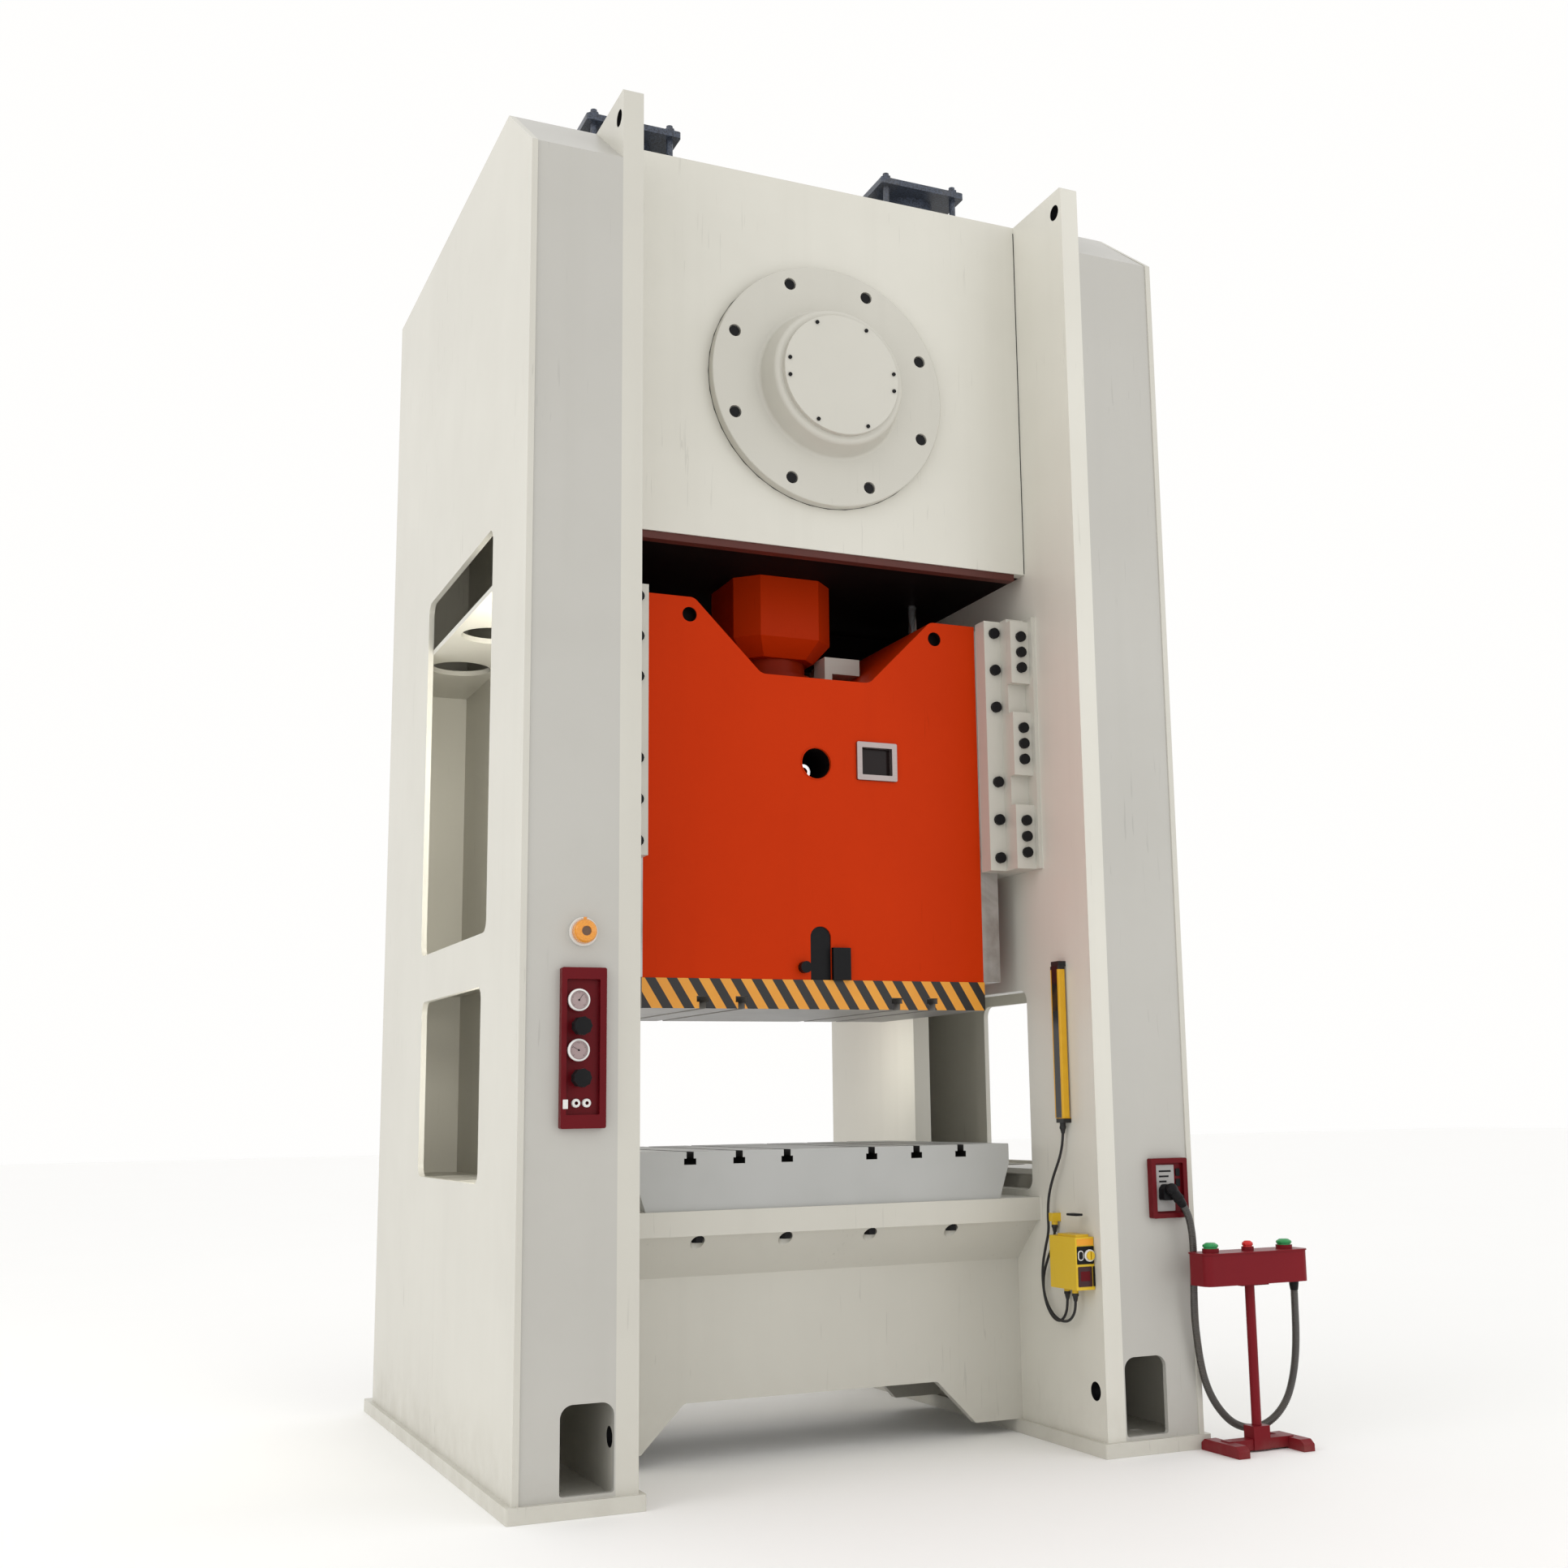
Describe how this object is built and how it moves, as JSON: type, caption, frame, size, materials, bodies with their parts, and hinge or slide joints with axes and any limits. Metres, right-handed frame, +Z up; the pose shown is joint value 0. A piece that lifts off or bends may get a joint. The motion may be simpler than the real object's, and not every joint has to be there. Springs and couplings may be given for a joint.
{
  "type": "mechanical stamping press",
  "caption": "Straight-side mechanical stamping press with crown, guided slide, bolster and bed, air counterbalances, light curtain and a two-hand control stand.",
  "frame": {"origin": "on the floor, midway between the columns and midway between the front and rear anchor bolts", "axes": "+X to the operator's right, +Y to the back, +Z up"},
  "size_m": [3.5092, 3.202, 6.224],
  "materials": {
    "body_paint": "cream-grey enamel, semi-gloss",
    "bolster_paint": "light machined plate, painted edges",
    "slide_orange": "orange-red enamel, semi-gloss",
    "hazard_band": "amber and black slanted stripes",
    "guide_steel": "ground steel, satin",
    "black_steel": "blackened steel",
    "balancer_black": "black enamel with hammered dome",
    "motor_paint": "blue-grey machine enamel",
    "belt_rubber": "black rubber belt",
    "stand_red": "deep red enamel, gloss",
    "panel_red": "deep red enamel frame",
    "black_plastic": "black moulded plastic",
    "conduit_steel": "wound steel conduit",
    "gauge_ring": "white gauge ring, pale dial",
    "amber_lamp": "amber lens on white ring",
    "safety_yellow": "safety yellow enamel",
    "lead_rubber": "black cable sheath",
    "cast_gear": "oiled cast steel",
    "wheel_iron": "turned cast iron",
    "bright_frame": "bright sheet frame",
    "rod_chrome": "hard chrome",
    "palm_green": "green mushroom button",
    "stop_red": "red mushroom button"
  },
  "bodies": {
    "frame": {"column_outer_plate_left": "body_paint", "column_outer_plate_right": "body_paint", "column_inner_plate_left": "body_paint", "column_inner_plate_right": "body_paint", "column_front_plate_left": "body_paint", "column_front_plate_right": "body_paint", "column_rear_plates": "body_paint", "base_plates": "body_paint", "crown_front_plate": "body_paint", "crown_rear_plate": "body_paint", "crown_top_plate": "body_paint", "crown_bottom_plate": "body_paint", "bed_top_plate": "body_paint", "bed_front_wall": "body_paint", "bed_rear_wall": "body_paint", "rear_cover": "body_paint", "gib_front_left": "body_paint", "gib_front_right": "body_paint", "gib_rear_left": "body_paint", "gib_rear_right": "body_paint", "bearing_flange": "body_paint", "bed_bolts": "black_steel", "gib_screws": "black_steel", "bearing_bolts": "black_steel", "bolster": "bolster_paint", "bearing_cover": "body_paint", "balancer_left": "balancer_black", "balancer_right": "balancer_black", "motor": "motor_paint", "belts": "belt_rubber", "stand_foot": "stand_red", "stand_box": "stand_red", "socket_panel": "panel_red", "plug": "black_plastic", "conduit": "conduit_steel", "air_panel": "panel_red", "gauges": "gauge_ring", "beacon": "amber_lamp", "light_curtains": "safety_yellow", "controller_box": "safety_yellow", "curtain_lead": "lead_rubber", "box_lead": "lead_rubber"},
    "slide_unit": {"slide": "slide_orange", "slide_base": "hazard_band", "slide_guides": "guide_steel", "slide_window": "bright_frame", "plunger": "slide_orange", "adjusting_nut": "black_steel", "adjuster_drive": "body_paint", "balancer_rods": "rod_chrome"},
    "crank": {"eccentric_gear": "cast_gear"},
    "rod": {"connecting_rod": "cast_gear"},
    "pinion": {"pinion_shaft": "cast_gear"},
    "wheel": {"flywheel": "wheel_iron"},
    "motor_rotor": {"motor_pulley": "wheel_iron"},
    "palm_left": {"palm_button_left": "palm_green"},
    "palm_right": {"palm_button_right": "palm_green"},
    "stop": {"stop_button": "stop_red"},
    "upper_regulator": {"regulator_upper": "black_plastic"},
    "lower_regulator": {"regulator_lower": "black_plastic"}
  },
  "joints": [
    {"name": "slide_travel", "type": "slide", "parent": "frame", "child": "slide_unit", "axis": [0, 0, 1], "range_m": [-0.25, 0]},
    {"name": "crank_turn", "type": "hinge", "parent": "frame", "child": "crank", "pos_m": [0, -0.245, 4.76], "axis": [0, 1, 0], "range_deg": [0, 181]},
    {"name": "rod_swing", "type": "hinge", "parent": "crank", "child": "rod", "pos_m": [0, -0.245, 4.885], "axis": [0, 1, 0], "range_deg": [-181, 0]},
    {"name": "pinion_turn", "type": "hinge", "parent": "frame", "child": "pinion", "pos_m": [0, -0.245, 5.474], "axis": [0, 1, 0], "range_deg": [-952, 0]},
    {"name": "flywheel_spin", "type": "hinge", "parent": "frame", "child": "wheel", "pos_m": [0, 0.7, 5.474], "axis": [0, 1, 0], "continuous": true},
    {"name": "motor_spin", "type": "hinge", "parent": "frame", "child": "motor_rotor", "pos_m": [0, 0.7, 4.25], "axis": [0, 1, 0], "continuous": true},
    {"name": "palm_left_press", "type": "slide", "parent": "frame", "child": "palm_left", "axis": [0, 0, -1], "range_m": [0, 0.005], "stiffness_N_per_m": 1200, "springref_m": -0.01},
    {"name": "palm_right_press", "type": "slide", "parent": "frame", "child": "palm_right", "axis": [0, 0, -1], "range_m": [0, 0.005], "stiffness_N_per_m": 1200, "springref_m": -0.01},
    {"name": "stop_press", "type": "slide", "parent": "frame", "child": "stop", "axis": [0, 0, -1], "range_m": [0, 0.005], "stiffness_N_per_m": 1200, "springref_m": -0.01},
    {"name": "upper_regulator_turn", "type": "hinge", "parent": "frame", "child": "upper_regulator", "pos_m": [-1.288, -1.45, 1.797], "axis": [0, 1, 0], "range_deg": [-150, 150]},
    {"name": "lower_regulator_turn", "type": "hinge", "parent": "frame", "child": "lower_regulator", "pos_m": [-1.288, -1.45, 1.6], "axis": [0, 1, 0], "range_deg": [-150, 150]}
  ],
  "couplings": [
    {"joint": "crank_turn", "follows": "slide_travel", "rad_per_m": -12.566},
    {"joint": "rod_swing", "follows": "slide_travel", "rad_per_m": 12.566},
    {"joint": "pinion_turn", "follows": "slide_travel", "rad_per_m": 66.139},
    {"joint": "motor_spin", "follows": "flywheel_spin", "ratio": 5.06}
  ]
}
